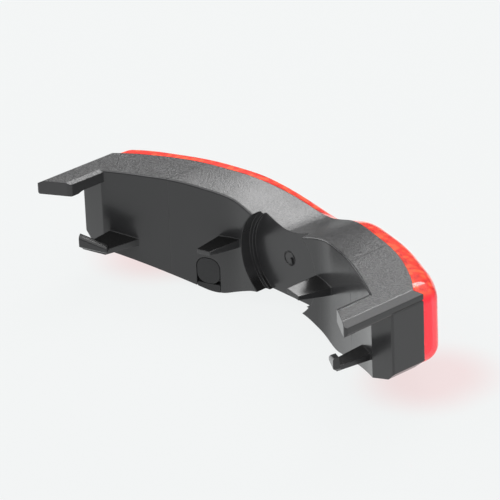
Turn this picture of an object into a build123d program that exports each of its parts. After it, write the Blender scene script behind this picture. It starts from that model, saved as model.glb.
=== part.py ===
from build123d import *
from math import cos, radians, sin, tan
import os

os.makedirs("parts", exist_ok=True)

# The light clips to the back of a helmet. +X runs along its length, -Y faces the head and +Z is up.
# The origin is the middle of the round recess, on the floor of the recess.

# Main form, in millimetres
end_x = 66.4  # from the middle to each end wall
top_z = 16.8  # top of the wings
wall = 1.8  # thickness of the moulded housing
blank_reach = 60.0  # how far the blanks run before they are trimmed

# Side that faces the head, seen from above, from the middle outwards
back_y = -4.6
wing_start_x = 16.5
wing_quarter = (26.0, -6.7)
wing_middle = (39.0, -12.2)
wing_end_tangent = (1.0, -0.58)
fold_inner = (57.8, -21.9)
fold_outer_y = -21.9
fold_outer_radius = 0.6
under_bevel = 2.2  # along the bottom of the end wall
back_edge_radius = 0.6  # along the top edge of the side that faces the head

# Joint between housing and lens, seen from above, from the middle outwards
rim_points = [
    (0.0, 15.1),
    (12.0, 12.5),
    (22.9, 7.8),
    (34.3, 4.0),
    (45.7, 0.1),
    (55.0, -4.9),
    (64.3, -11.9),
]
rim_end_tangent = (1.0, -0.95)
rim_end_y = -10.0  # where the joint meets the end wall

# Underside, seen from the back
waist_z = -12.45
waist_half_width = 10.4
waist_radius = 20.0
belly_x = 25.0
belly_z = -18.3
belly_radius = 11.7
tail_slope = tan(radians(15.6))

# Top: heights at even steps from the middle, near the back edge and near the front edge
saddle_pitch = 6.0
saddle_back = [9.0, 10.3, 12.5, 14.1, 15.1, 16.0, 16.65]
saddle_front = [8.3, 9.55, 11.95, 14.3, 16.1, 16.75, top_z]
saddle_back_y = -5.0
saddle_front_y = 12.0
saddle_reach_back = -42.0
saddle_reach_front = 26.0

# Round recess that clears the dial of the helmet's fit system
recess_radius = 14.8
recess_rim_radius = 16.0
recess_ledge_y = -1.2
gate_mark_radius = 2.3
gate_mark_width = 0.4
gate_mark_depth = 0.25

# Upper arms
arm_inner_x = 56.9
arm_thickness = 3.7
arm_tip_inner_y = -33.8
arm_tip_outer_y = -39.7
arm_bevel_out = 2.3
arm_bevel_down = 2.6
arm_inner_bevel_in = 1.4
arm_inner_bevel_down = 0.6
arm_under_radius = 1.4  # along the bottom of the arm, on its outer side
end_groove_height = 0.6  # it carries the line of the arm's bottom on across the end wall
end_groove_depth = 0.35
arm_lip_drop = 0.6
arm_lip_length = 2.3
arm_lip_blend = 2.2
arm_tip_radius = 0.8

# Lower hooks, seen from above, then their heights
hook_root_inner = (47.9, -15.0)
hook_root_outer = (56.2, -19.5)
hook_tip_inner = (47.9, -29.1)
hook_tip_outer = (54.8, -33.8)
hook_shelf_z = -2.7  # at the outer corner of the root
hook_shelf_slope = 0.2
hook_root_thickness = 2.2
hook_tip_thickness = 1.3
hook_lip_length = 2.1
hook_lip_inner_z = -3.1
hook_lip_outer_z = 0.0
hook_under_bevel = 1.2
hook_end_bevel = 1.0
hook_tip_inset = 0.8  # of the shelf from each end of the lip
hook_nose_radius = 0.9

# Wedge tabs beside the recess, seen from above, then their heights
tab_root_inner = (16.5, -3.9)
tab_root_outer = (24.5, -4.6)
tab_tip_inner = (16.6, -16.1)
tab_tip_outer = (21.8, -16.5)
tab_z = 2.0  # at the inner corner of the tip
tab_slope = -0.12
tab_root_thickness = 2.6
tab_tip_thickness = 1.3

# Lens
lens_depth = 6.7  # from the joint to the front face, square to the joint
lens_wall = 1.6
lens_corner = 5.6  # plan radius where the front turns into the end
lens_edge_radius = 5.4
lens_top_slope = [-0.55, -0.52, -0.44, -0.28, -0.14, -0.08, -0.05, -0.05]  # at the same steps as the saddle
skirt_depth = 2.0
skirt_wall = 1.0
skirt_clearance = 0.1
gasket_depth = 1.0

# Port cover, on the left wing. It bends along the fold above its anchor
port_along_wing = 11.8  # from the start of the wing to the middle of the port
cover_width = 7.4
cover_top_z = -7.1
cover_fold_z = -15.3
cover_fold_gap = 0.15
cover_corner = 3.0
cover_thickness = 1.4
cover_gap = 0.25
plug_depth = 1.2
plug_clearance = 0.35
plug_top_clearance = 0.7
port_boss_width = 10.4
port_boss_top_z = -5.6
port_boss_depth = 3.4
pocket_width = 3.4
pocket_height = 6.8
pocket_z = -10.9
anchor_peg_radius = 0.6
anchor_peg_length = 1.5
anchor_peg_z = -16.3
peg_clearance = 0.05

# Charging socket behind the cover, and the board that carries it
socket_width = 2.9
socket_height = 6.8
socket_length = 5.0
socket_wall = 0.3
socket_setback = 3.5
socket_tongue_width = 0.7
socket_tongue_height = 5.0
socket_tongue_length = 4.2
charge_board_thickness = 0.8
charge_board_low_z = -12.4
charge_board_high_z = -6.0
charge_board_length = 8.0
charge_ribbon_low_z = -8.6
charge_ribbon_high_z = -6.4
charge_ribbon_lap = 1.2  # how far the ribbon lies on the charge board
charge_ribbon_end_gap = 0.2

# Wing boards and reflectors, in a plane that leans with the wing
wing_plane_x = 40.0
wing_plane_y = 2.1
wing_angle = 22.5
board_setback = 3.5  # from the joint to the front of the wing board
board_thickness = 0.8
board_length = 36.4
board_low_z = -5.4
board_high_z = 11.4
bowl_count = 3
bowl_pitch = 9.4
bowl_radius = 4.5
bowl_floor_radius = 2.3
bowl_depth = 5.4
bowl_rim = 0.5
reflector_half_height = 7.6
ear_reach = 18.0
ear_height = 4.0
ear_thickness = 1.2
led_size = 3.0
led_height = 0.8
dome_radius = 1.1

# Screws and the posts that take them
post_radius = 1.7
post_at = 16.2  # along the wing from the middle of the board
screw_radius = 0.75
screw_clearance = 0.05
screw_head_radius = 1.4
screw_head_height = 0.9
screw_length = 5.0
main_screw_length = 3.0

# Battery, in the right wing
cell_length = 25.0
cell_height = 17.0
cell_thickness = 4.0
cell_low_z = -4.6
pad_thickness = 1.0
pad_margin = 2.0
pad_clearance = 0.1
tab_length = 2.0
tab_height = 3.0
tab_thickness = 0.2
tab_rise = 4.5  # of each tab above and below the middle of the cell
lead_radius = 0.45
lead_bend = 1.5
lead_path = [(20.5, 1.3), (16.1, 3.1)]  # corners between the battery and the control board
lead_end_x = 13.5
lead_end_z = [4.6, -4.0]

# Control board behind the recess
main_board_y = 4.4
main_board_thickness = 0.8
main_board_half_width = 14.6
main_board_low_z = -9.6
main_board_high_z = 5.8
main_post_x = 11.4
main_post_z = -1.6
chip_size = 3.0
chip_height = 0.8
chip_spot = (-6.5, 2.5)
ribbon_low_z = -4.5
ribbon_high_z = -0.5
ribbon_thickness = 0.3
ribbon_start_x = 13.1
ribbon_bend_x = 15.2
ribbon_lap = 2.6  # how far the ribbon lies on the wing board
ribbon_end_gap = 0.4

# Small parts on the control board, and their spots from the middle
component_length = 1.6
component_width = 0.8
component_height = 0.6
component_pitch_across = 2.2
component_pitch_up = 1.8
component_rows = 2
upper_group_count = 3
upper_group_spot = (-6.0, 3.2)
lower_group_count = 4
lower_group_spot = (6.5, -6.5)
coil_size = 3.0
coil_height = 1.2
coil_corner = 0.4
coil_spot = (-6.0, -6.8)

# Button, in the middle of the lens, and the switch behind it
button_z = -1.8
button_radius = 4.6
button_travel = 0.4
button_proud = 0.8
button_edge_radius = 0.6
button_clearance = 0.3
button_flange_radius = 5.8
button_flange_thickness = 0.8
button_stem_radius = 1.5
collar_radius = 6.6
collar_length = 2.9
seal_thickness = 0.6
seal_radius = 5.95
seal_clearance = 0.05
switch_size = 5.2
switch_height = 2.0
plunger_radius = 1.2
plunger_height = 1.5
plunger_sunk = 0.5
plunger_gap = 0.1

# Charge light beside the button
pipe_x = 7.2
pipe_radius = 0.9
pipe_end_y = 17.8
pipe_foot_radius = 1.6
pipe_foot_height = 2.0
pipe_foot_bore = 1.1
status_led_width = 1.6
status_led_height = 0.7


def saddle_stations():
    """Distance from the middle and the two heights of each section across the top, left to right."""
    count = int(end_x / saddle_pitch) + 2
    flat = [top_z] * (count - len(saddle_back))
    steps = [i * saddle_pitch for i in range(count)]
    right = list(zip(steps, saddle_back + flat, saddle_front + flat))
    return [(-x, back, front) for x, back, front in reversed(right[1:])] + right


def rim_y(x):
    """Where the joint lies at a distance from the middle."""
    rim = Spline(*rim_points, tangents=[(1, 0), rim_end_tangent])
    if abs(x) >= rim_points[-1][0]:
        return rim_points[-1][1]
    return rim.find_intersection_points(Axis((abs(x), 0, 0), (0, 1, 0)))[0].Y


def top_lines(over_lens):
    """For each section across the top: its place, a point on it and its slope towards the front."""
    lines = []
    for x, back, front in saddle_stations():
        tilt = (front - back) / (saddle_front_y - saddle_back_y)
        if over_lens:
            step = min(round(abs(x) / saddle_pitch), len(lens_top_slope) - 1)
            lines.append((x, rim_y(x), back + tilt * (rim_y(x) - saddle_back_y), lens_top_slope[step]))
        else:
            lines.append((x, saddle_back_y, back, tilt))
    return lines


def top_cutter(inset, over_lens=False):
    """Everything above the top surface of the housing or of the lens, lowered by inset."""
    with BuildPart() as cutter:
        for x, y, z, slope in top_lines(over_lens):
            with BuildSketch(Plane.YZ.offset(x)):
                with BuildLine():
                    Polyline(
                        (saddle_reach_back, z - inset + slope * (saddle_reach_back - y)),
                        (saddle_reach_front, z - inset + slope * (saddle_reach_front - y)),
                        (saddle_reach_front, blank_reach),
                        (saddle_reach_back, blank_reach),
                        close=True,
                    )
                make_face()
        loft()
    return cutter.part


def trim_to_outline(plan, inset, over_lens=False):
    """Right half of a body: a plan extruded, then trimmed to the underside, the end and the top."""
    tail_x = end_x - inset
    tail_z = belly_z + (tail_x - belly_x) * tail_slope
    with BuildPart() as body:
        with BuildSketch(Plane.XY.offset(-blank_reach / 2)):
            add(plan)
        extrude(amount=blank_reach)
        with BuildSketch(Plane.XZ):
            with BuildLine():
                FilletPolyline(
                    (0, waist_z + inset),
                    (waist_half_width, waist_z + inset),
                    (belly_x, belly_z + inset),
                    (tail_x, tail_z + inset),
                    radius=[waist_radius, belly_radius],
                )
                Polyline(
                    (tail_x, tail_z + inset),
                    (tail_x, blank_reach),
                    (0, blank_reach),
                    (0, waist_z + inset),
                )
            make_face()
        extrude(amount=blank_reach, both=True, mode=Mode.INTERSECT)
        add(top_cutter(inset, over_lens), mode=Mode.SUBTRACT)
    return body.part


def rim_line(shift):
    """The joint between housing and lens, moved towards the back by shift."""
    points = [(x, y - shift) for x, y in rim_points]
    Spline(*points, tangents=[(1, 0), rim_end_tangent])
    Line(points[-1], (end_x, rim_end_y - shift))
    return points[0], (end_x, rim_end_y - shift)


def distance_from_rim(spot):
    """How far a point stands from the joint, seen from above."""
    return Spline(*rim_points, tangents=[(1, 0), rim_end_tangent]).distance_to(Vertex(spot.X, spot.Y, 0))


def lens_plan(inset):
    """Right half of the lens, seen from above, brought in by inset on its outer sides."""
    rim = Spline(*rim_points, tangents=[(1, 0), rim_end_tangent])
    stop_x = end_x - inset
    depth = lens_depth - inset
    spots = []
    for share in (0, 0.15, 0.3, 0.45, 0.6, 0.75, 0.9):
        spot, along = rim.position_at(share), rim.tangent_at(share)
        spots.append((spot.X - along.Y * depth, spot.Y + along.X * depth))
    last, slope = rim.position_at(1), rim.tangent_at(1)
    corner_y = last.Y + slope.X * depth + (stop_x - last.X + slope.Y * depth) * slope.Y / slope.X
    spots = [spot for spot in spots if spot[0] < stop_x - lens_corner] + [(stop_x, corner_y)]
    with BuildSketch() as plan:
        with BuildLine():
            if inset:
                behind = [(x, y - inset) for x, y in rim_points]
                rim_middle, rim_end = behind[0], (stop_x, behind[-1][1])
                Polyline(*behind[:-1], rim_end)
            else:
                rim_middle, rim_end = rim_line(0)
            Spline(*spots, tangents=[(1, 0), (slope.X, slope.Y)])
            Line(spots[-1], rim_end)
            Line(spots[0], rim_middle)
        make_face()
        corner = plan.vertices().sort_by_distance((stop_x, corner_y))[0]
        fillet(corner, radius=lens_corner - inset)
    return plan.sketch


def is_long_edge(edge, stop_x):
    """Whether an edge of the lens blank runs along its front or along its end wall."""
    middle = edge @ 0.5
    if abs((edge % 0.5).Z) > 0.9 or middle.X < 0.01:
        return False
    return distance_from_rim(middle) > lens_depth / 2 or min((edge @ 0).X, (edge @ 1).X) > stop_x - 0.01


def rounded_lens_half(inset):
    """Right half of the lens blank with its long edges rounded, brought in by inset."""
    blank = trim_to_outline(lens_plan(inset), inset, over_lens=True)
    with BuildPart() as half:
        add(blank)
        long_edges = [edge for edge in half.edges() if is_long_edge(edge, end_x - inset)]
        fillet(long_edges, radius=lens_edge_radius - inset)
    return half.part


def rim_band(near, far, outer_inset, inner_inset):
    """A band round the inside of the joint, between two depths behind it and between two insets."""
    with BuildSketch() as strip:
        with BuildLine():
            near_middle, near_end = rim_line(near)
            far_middle, far_end = rim_line(far)
            Line(near_middle, far_middle)
            Line(near_end, far_end)
        make_face()
    with BuildPart() as band:
        add(trim_to_outline(strip.sketch, outer_inset))
        add(trim_to_outline(strip.sketch, inner_inset), mode=Mode.SUBTRACT)
    return band.part


def both_sides(half):
    """A right half and its mirror image, joined at the middle."""
    with BuildPart() as whole:
        add(half)
        mirror(half, about=Plane.YZ)
    return whole.part


def mirrored(piece):
    """The left-hand copy of a right-hand piece."""
    with BuildPart() as copy:
        mirror(piece, about=Plane.YZ)
    return copy.part


def wing_curve():
    """The back of the right wing, seen from above, from its start to its fold."""
    start = (wing_start_x, back_y)
    return Spline(start, wing_quarter, wing_middle, fold_inner, tangents=[(1, 0), wing_end_tangent])


def back_line():
    """Right half of the side that faces the head, with the end wall, up to the joint."""
    Line((0, back_y), (wing_start_x, back_y))
    wing_curve()
    FilletPolyline(fold_inner, (end_x, fold_outer_y), (end_x, rim_end_y), radius=fold_outer_radius)


def housing_plan():
    """Right half of the housing, seen from above."""
    with BuildSketch() as plan:
        with BuildLine():
            front_middle, _ = rim_line(0)
            back_line()
            Line(front_middle, (0, back_y))
        make_face()
    return plan.sketch


def cavity_plan():
    """Right half of the hollow in the housing, seen from above."""
    recess_side = recess_rim_radius + wall
    wing = wing_curve()
    inside = []
    for share in (0.1, 0.35, 0.6, 0.8, 1):
        spot, along = wing.position_at(share), wing.tangent_at(share)
        inside.append((spot.X - along.Y * wall, spot.Y + along.X * wall))
    with BuildSketch() as plan:
        with BuildLine():
            front_middle, front_end = rim_line(0)
            Polyline(front_middle, (0, wall), (recess_side, wall), (recess_side, back_y + wall), inside[0])
            Spline(*inside)
            Polyline(inside[-1], (end_x, inside[-1][1]), front_end)
        make_face()
    return plan.sketch


wing_face = wing_curve()


def is_top_back_edge(edge):
    """Whether an edge of the blank runs along the top of the wing's back."""
    middle = edge @ 0.5
    if abs((edge % 0.5).Z) > 0.9 or middle.Z < 0:
        return False
    return wing_face.distance_to(Vertex(middle.X, middle.Y, 0)) < wall / 10


# Outer form and hollow, each as a right half
with BuildPart() as housing_blank:
    add(trim_to_outline(housing_plan(), 0))
    fillet([edge for edge in housing_blank.edges() if is_top_back_edge(edge)], radius=back_edge_radius)
housing_half = housing_blank.part
cavity_half = trim_to_outline(cavity_plan(), wall)


def wing_plane(setback=0.0):
    """Plane along the right wing, facing the front, set back from the joint. Its Y runs up."""
    lean = radians(wing_angle)
    facing = Vector(sin(lean), cos(lean), 0)
    origin = Vector(wing_plane_x, wing_plane_y, 0) - facing * setback
    return Plane(origin=origin, x_dir=(-cos(lean), sin(lean), 0), z_dir=facing)


def port_plane():
    """Plane on the back of the right wing at the port, facing out. Its Y runs up."""
    spot = wing_face.position_at(port_along_wing, position_mode=PositionMode.LENGTH)
    along = wing_face.tangent_at(port_along_wing, position_mode=PositionMode.LENGTH)
    return Plane(origin=spot, x_dir=(along.X, along.Y, 0), z_dir=(along.Y, -along.X, 0))


# The arm: a plate along the top with rounded corners and a lip that hangs from its slanted tip
arm_root_y = fold_outer_y + wall
arm_tip = Vector(end_x - arm_inner_x, arm_tip_outer_y - arm_tip_inner_y).normalized()
lip_plane = Plane(
    origin=(arm_inner_x, arm_tip_inner_y, top_z - arm_thickness),
    x_dir=(-arm_tip.Y, arm_tip.X, 0),
    z_dir=(arm_tip.X, arm_tip.Y, 0),
)
with BuildPart() as arm:
    with BuildSketch(Plane.XY.offset(top_z - arm_thickness - arm_lip_drop)) as arm_plan:
        with BuildLine():
            Polyline(
                (arm_inner_x, arm_root_y),
                (arm_inner_x, arm_tip_inner_y),
                (end_x, arm_tip_outer_y),
                (end_x, arm_root_y),
                close=True,
            )
        make_face()
        fillet(arm_plan.vertices().sort_by(Axis.Y)[:2], radius=arm_tip_radius)
    extrude(amount=arm_lip_drop + arm_thickness + wall)
    with BuildSketch(lip_plane):
        with BuildLine():
            reach = arm_lip_length + arm_lip_blend
            blend_middle = (arm_lip_length + arm_lip_blend / 2, -arm_lip_drop / 4)
            ThreePointArc((arm_lip_length, -arm_lip_drop), blend_middle, (reach, 0))
            Polyline(
                (reach, 0),
                (blank_reach, 0),
                (blank_reach, -arm_lip_drop - wall),
                (arm_lip_length, -arm_lip_drop - wall),
                (arm_lip_length, -arm_lip_drop),
            )
        make_face()
    extrude(amount=blank_reach, both=True, mode=Mode.SUBTRACT)
    with BuildSketch(Plane.XZ.offset(-arm_root_y)):
        with BuildLine():
            FilletPolyline(
                (end_x, top_z + wall),
                (end_x, top_z - arm_thickness - arm_lip_drop),
                (arm_inner_x, top_z - arm_thickness - arm_lip_drop),
                radius=arm_under_radius,
            )
            Polyline(
                (arm_inner_x, top_z - arm_thickness - arm_lip_drop),
                (arm_inner_x, top_z - arm_inner_bevel_down),
                (arm_inner_x + arm_inner_bevel_in, top_z),
                (arm_inner_x + arm_inner_bevel_in, top_z + wall),
                (end_x, top_z + wall),
            )
        make_face()
    extrude(amount=blank_reach, mode=Mode.INTERSECT)


def shelf_z(x):
    """Height of the top of the hook's shelf."""
    return hook_shelf_z + (x - hook_root_outer[0]) * hook_shelf_slope


def tab_top_z(x):
    """Height of the top of the wedge tab."""
    return tab_z + (x - tab_tip_inner[0]) * tab_slope


def upright_prism(*corners):
    """A tall prism on a plan given by its corners."""
    with BuildPart() as prism:
        with BuildSketch(Plane.XY.offset(-blank_reach / 2)):
            with BuildLine():
                Polyline(*corners, close=True)
            make_face()
        extrude(amount=blank_reach)
    return prism.part


def wedge(corners, top, root_thickness, tip_thickness):
    """A plate on a plan of four corners, root first, that thins from its root to its tip."""
    low_x = min(x for x, _ in corners) - wall
    high_x = max(x for x, _ in corners) + wall
    root_y = max(y for _, y in corners)
    tip_y = min(y for _, y in corners)
    with BuildPart() as plate:
        for y, thickness in ((root_y, root_thickness), (tip_y, tip_thickness)):
            with BuildSketch(Plane.XZ.offset(-y)):
                with BuildLine():
                    Polyline(
                        (low_x, top(low_x)),
                        (high_x, top(high_x)),
                        (high_x, top(high_x) - thickness),
                        (low_x, top(low_x) - thickness),
                        close=True,
                    )
                make_face()
        loft(ruled=True)
        add(upright_prism(*corners), mode=Mode.INTERSECT)
    return plate.part


# The lip at the tip of the hook stands square to the shelf. The shelf ends inside it
lip_across = Vector(*hook_tip_outer) - Vector(*hook_tip_inner)
lip_in = Vector(-lip_across.Y, lip_across.X).normalized()
lip_corners = [Vector(*hook_tip_inner), Vector(*hook_tip_outer)]
tip_inset = lip_across.normalized() * hook_tip_inset
shelf_tip = [lip_corners[0] + tip_inset, lip_corners[1] - tip_inset]
shelf_tip = [corner + lip_in * (hook_lip_length / 2) for corner in shelf_tip]
lip_corners += [lip_corners[1] + lip_in * hook_lip_length, lip_corners[0] + lip_in * hook_lip_length]
shelf_plane = Plane(
    origin=(*hook_root_outer, hook_shelf_z),
    x_dir=(1, 0, hook_shelf_slope),
    z_dir=(-hook_shelf_slope, 0, 1),
)

hook_corners = [hook_root_inner, hook_root_outer] + [(corner.X, corner.Y) for corner in reversed(shelf_tip)]
hook = wedge(hook_corners, shelf_z, hook_root_thickness, hook_tip_thickness)
tab_corners = [tab_root_inner, tab_root_outer, tab_tip_outer, tab_tip_inner]
tab = wedge(tab_corners, tab_top_z, tab_root_thickness, tab_tip_thickness)


def on_shelf(spot):
    """The point of the shelf's plane above or below a spot."""
    return Vector(spot.X, spot.Y, shelf_z(spot.X))


with BuildPart() as hook_lip:
    add(upright_prism(*[(corner.X, corner.Y) for corner in lip_corners]))
    with BuildSketch(Plane.XZ):
        with BuildLine():
            lip_slope = (hook_lip_outer_z - hook_lip_inner_z) / lip_across.X
            lip_start, lip_stop = hook_tip_inner[0] - wall, hook_tip_outer[0] + wall
            Polyline(
                (lip_start, hook_lip_inner_z - wall * lip_slope),
                (lip_stop, hook_lip_outer_z + wall * lip_slope),
                (lip_stop, shelf_z(lip_stop) - hook_tip_thickness),
                (lip_start, shelf_z(lip_start) - hook_tip_thickness),
                close=True,
            )
        make_face()
    extrude(amount=blank_reach, both=True, mode=Mode.INTERSECT)
    with BuildSketch(shelf_plane):
        with BuildLine():
            side = lip_across.normalized() * wall
            behind = [lip_corners[3] - side, lip_corners[2] + side]
            behind += [corner + lip_in * hook_lip_length for corner in reversed(behind)]
            Polyline(*[shelf_plane.to_local_coords(on_shelf(corner)) for corner in behind], close=True)
        make_face()
    extrude(amount=blank_reach, mode=Mode.SUBTRACT)
    lip_depth_axis = Axis((0, 0, 0), (lip_in.X, lip_in.Y, 0))
    lip_length_axis = Axis((0, 0, 0), (lip_across.X, lip_across.Y, 0))
    fillet(hook_lip.faces().sort_by(lip_depth_axis)[0].edges().sort_by(Axis.Z)[-1], radius=hook_nose_radius)
    chamfer(hook_lip.faces().sort_by(lip_depth_axis)[0].edges().sort_by(Axis.Z)[0], length=hook_under_bevel)
    for end in (0, -1):
        low_edge = hook_lip.faces().sort_by(lip_length_axis)[end].edges().sort_by(Axis.Z)[0]
        chamfer(low_edge, length=hook_end_bevel)

# Heights and depths that several inner pieces share
crown_y = rim_points[0][1] + lens_depth
collar_y = crown_y - collar_length
main_front_y = main_board_y + main_board_thickness
board_middle_z = (board_low_z + board_high_z) / 2
board_back = board_setback + board_thickness
wing_spots = [wing_face.position_at(share) for share in (0.3, 0.5, 0.8)]
wing_depths = [(wing_plane().origin - spot).dot(wing_plane().z_dir) for spot in wing_spots]
cell_back = min(wing_depths) - wall - pad_clearance - pad_thickness
cell_front = cell_back - cell_thickness
cell_middle_z = cell_low_z + cell_height / 2


def facing_plane(y):
    """Upright plane across the middle at a depth, facing the front. Its X runs to the left."""
    return Plane(origin=(0, y, 0), x_dir=(-1, 0, 0), z_dir=(0, 1, 0))


def port_block(width, low_z, high_z, near, far, corner=0.0):
    """A block square to the wing at the port, between two depths, with rounded top corners."""
    with BuildPart() as block:
        with BuildSketch(port_plane().offset(-far)) as face:
            with Locations((0, (low_z + high_z) / 2)):
                Rectangle(width, high_z - low_z)
            if corner:
                fillet(face.vertices().group_by(Axis.Z)[-1], radius=corner)
        extrude(amount=far - near)
    return block.part


def export_pair(name, right_piece):
    """Write a right-hand piece and its mirror image."""
    for side, piece in (("right", right_piece), ("left", mirrored(right_piece))):
        piece.label = f"{name}_{side}"
        export_step(piece, f"parts/{name}_{side}.step")


# Posts inside the wings and behind the recess
with BuildPart() as wing_posts:
    with BuildSketch(wing_plane(board_back)):
        with Locations((-post_at, board_middle_z), (post_at, board_middle_z)):
            Circle(post_radius)
    extrude(amount=-cell_length)
    add(housing_half, mode=Mode.INTERSECT)

with BuildPart() as housing_right:
    add(housing_half)
    add(arm.part)
    add(hook)
    add(hook_lip.part)
    add(tab)
    add(cavity_half, mode=Mode.SUBTRACT)
    add(wing_posts.part)
    with BuildSketch(facing_plane(wall)):
        with Locations((-main_post_x, main_post_z)):
            Circle(post_radius)
    extrude(amount=main_board_y - wall)
    add(top_cutter(0), mode=Mode.SUBTRACT)
    with BuildSketch(Plane.XZ):
        with BuildLine():
            Polyline(
                (end_x - arm_bevel_out, top_z),
                (end_x - arm_bevel_out, top_z + arm_bevel_down),
                (end_x + arm_bevel_out, top_z + arm_bevel_down),
                (end_x + arm_bevel_out, top_z - arm_bevel_down),
                close=True,
            )
        make_face()
        with BuildLine():
            bevel_x = end_x - under_bevel
            bevel_z = belly_z + (bevel_x - belly_x) * tail_slope
            Polyline(
                (bevel_x, bevel_z),
                (end_x + under_bevel, bevel_z + 2 * under_bevel),
                (end_x + under_bevel, bevel_z - under_bevel),
                (bevel_x, bevel_z - under_bevel),
                close=True,
            )
        make_face()
    extrude(amount=blank_reach, both=True, mode=Mode.SUBTRACT)
    with BuildSketch(Plane.XZ.offset(-fold_outer_y)):
        with BuildLine():
            groove_top = top_z - arm_thickness - arm_lip_drop + arm_under_radius
            Polyline(
                (end_x + wall, groove_top),
                (end_x, groove_top),
                (end_x - end_groove_depth, groove_top - end_groove_height / 2),
                (end_x, groove_top - end_groove_height),
                (end_x + wall, groove_top - end_groove_height),
                close=True,
            )
        make_face()
    extrude(amount=fold_outer_y - rim_end_y - wall, mode=Mode.SUBTRACT)
    with BuildSketch(wing_plane(board_back)):
        with Locations((-post_at, board_middle_z), (post_at, board_middle_z)):
            Circle(screw_radius + screw_clearance)
    extrude(amount=-(screw_length - ear_thickness - board_thickness + screw_clearance), mode=Mode.SUBTRACT)
    with BuildSketch(facing_plane(main_board_y)):
        with Locations((-main_post_x, main_post_z)):
            Circle(screw_radius + screw_clearance)
    extrude(amount=-(main_screw_length - main_board_thickness + screw_clearance), mode=Mode.SUBTRACT)

# The port on the left wing, built on the right and mirrored
peg_tip = cover_thickness + anchor_peg_length
with BuildPart() as port_boss:
    add(port_block(port_boss_width, -blank_reach, port_boss_top_z, 0, port_boss_depth))
    add(housing_half, mode=Mode.INTERSECT)

with BuildPart() as port_hollow:
    notch_top = cover_top_z + cover_gap
    notch_corner = cover_corner + cover_gap
    notch_width = cover_width + 2 * cover_gap
    add(port_block(notch_width, -blank_reach, notch_top, -wall, cover_thickness, notch_corner))
    pocket_low = pocket_z - pocket_height / 2
    add(port_block(pocket_width, pocket_low, pocket_low + pocket_height, 0, port_boss_depth + wall))
    with BuildSketch(port_plane().offset(-peg_tip - peg_clearance)):
        with Locations((0, anchor_peg_z)):
            Circle(anchor_peg_radius + peg_clearance)
    extrude(amount=anchor_peg_length + 2 * peg_clearance)

with BuildPart() as rear_housing:
    add(both_sides(housing_right.part))
    add(mirrored(port_boss.part))
    add(mirrored(port_hollow.part), mode=Mode.SUBTRACT)
    with BuildSketch(Plane.XZ.offset(-recess_ledge_y)):
        Circle(recess_rim_radius)
    extrude(amount=blank_reach, mode=Mode.SUBTRACT)
    with BuildSketch(Plane.XZ):
        Circle(recess_radius)
    extrude(amount=blank_reach, mode=Mode.SUBTRACT)
    with BuildSketch(Plane.XZ.offset(-gate_mark_depth)):
        Circle(gate_mark_radius)
        Circle(gate_mark_radius - gate_mark_width, mode=Mode.SUBTRACT)
    extrude(amount=2 * gate_mark_depth, mode=Mode.SUBTRACT)
rear_housing.part.label = "rear_housing"
export_step(rear_housing.part, "parts/rear_housing.step")

with BuildPart() as port_cover:
    leaf_low = cover_fold_z + cover_fold_gap
    add(port_block(cover_width, leaf_low, cover_top_z, -wall, cover_thickness, cover_corner))
    add(housing_half, mode=Mode.INTERSECT)
    plug_low = pocket_low + plug_clearance
    plug_high = pocket_low + pocket_height - plug_top_clearance
    plug_back = cover_thickness + plug_depth
    add(port_block(pocket_width - 2 * plug_clearance, plug_low, plug_high, cover_thickness, plug_back))
port_cover_left = mirrored(port_cover.part)
port_cover_left.label = "port_cover"
export_step(port_cover_left, "parts/port_cover.step")

with BuildPart() as cover_anchor:
    add(port_block(cover_width, -blank_reach, cover_fold_z, -wall, cover_thickness))
    add(housing_half, mode=Mode.INTERSECT)
    with BuildSketch(port_plane().offset(-peg_tip)):
        with Locations((0, anchor_peg_z)):
            Circle(anchor_peg_radius)
    extrude(amount=anchor_peg_length)
cover_anchor_left = mirrored(cover_anchor.part)
cover_anchor_left.label = "cover_anchor"
export_step(cover_anchor_left, "parts/cover_anchor.step")

# Charging socket, on the left
socket_low = pocket_z - socket_height / 2
socket_back = socket_setback + socket_length
with BuildPart() as socket_shell:
    add(port_block(socket_width, socket_low, socket_low + socket_height, socket_setback, socket_back))
    inner_low = socket_low + socket_wall
    inner_high = socket_low + socket_height - socket_wall
    inner_width = socket_width - 2 * socket_wall
    inner = port_block(inner_width, inner_low, inner_high, 0, socket_back - socket_wall)
    add(inner, mode=Mode.SUBTRACT)
socket_shell_left = mirrored(socket_shell.part)
socket_shell_left.label = "usb_socket_shell"
export_step(socket_shell_left, "parts/usb_socket_shell.step")

tongue_back = socket_back - socket_wall
tongue_low = pocket_z - socket_tongue_height / 2
tongue_high = pocket_z + socket_tongue_height / 2
tongue_near = tongue_back - socket_tongue_length
socket_tongue = mirrored(port_block(socket_tongue_width, tongue_low, tongue_high, tongue_near, tongue_back))
socket_tongue.label = "usb_socket_tongue"
export_step(socket_tongue, "parts/usb_socket_tongue.step")

with BuildPart() as charge_board:
    with BuildSketch(port_plane().offset(-socket_setback - charge_board_length)):
        board_z = (charge_board_low_z + charge_board_high_z) / 2
        with Locations(((socket_width + charge_board_thickness) / 2, board_z)):
            Rectangle(charge_board_thickness, charge_board_high_z - charge_board_low_z)
    extrude(amount=charge_board_length)
charge_board_left = mirrored(charge_board.part)
charge_board_left.label = "charge_board"
export_step(charge_board_left, "parts/charge_board.step")


def ribbon(corners, low_z, high_z):
    """A flat ribbon on edge along a path seen from above."""
    with BuildPart() as strip:
        with BuildSketch(Plane.XY.offset(low_z)):
            with BuildLine() as path:
                Polyline(*corners)
            trace(path.line, line_width=ribbon_thickness)
        extrude(amount=high_z - low_z)
    return strip.part


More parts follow.
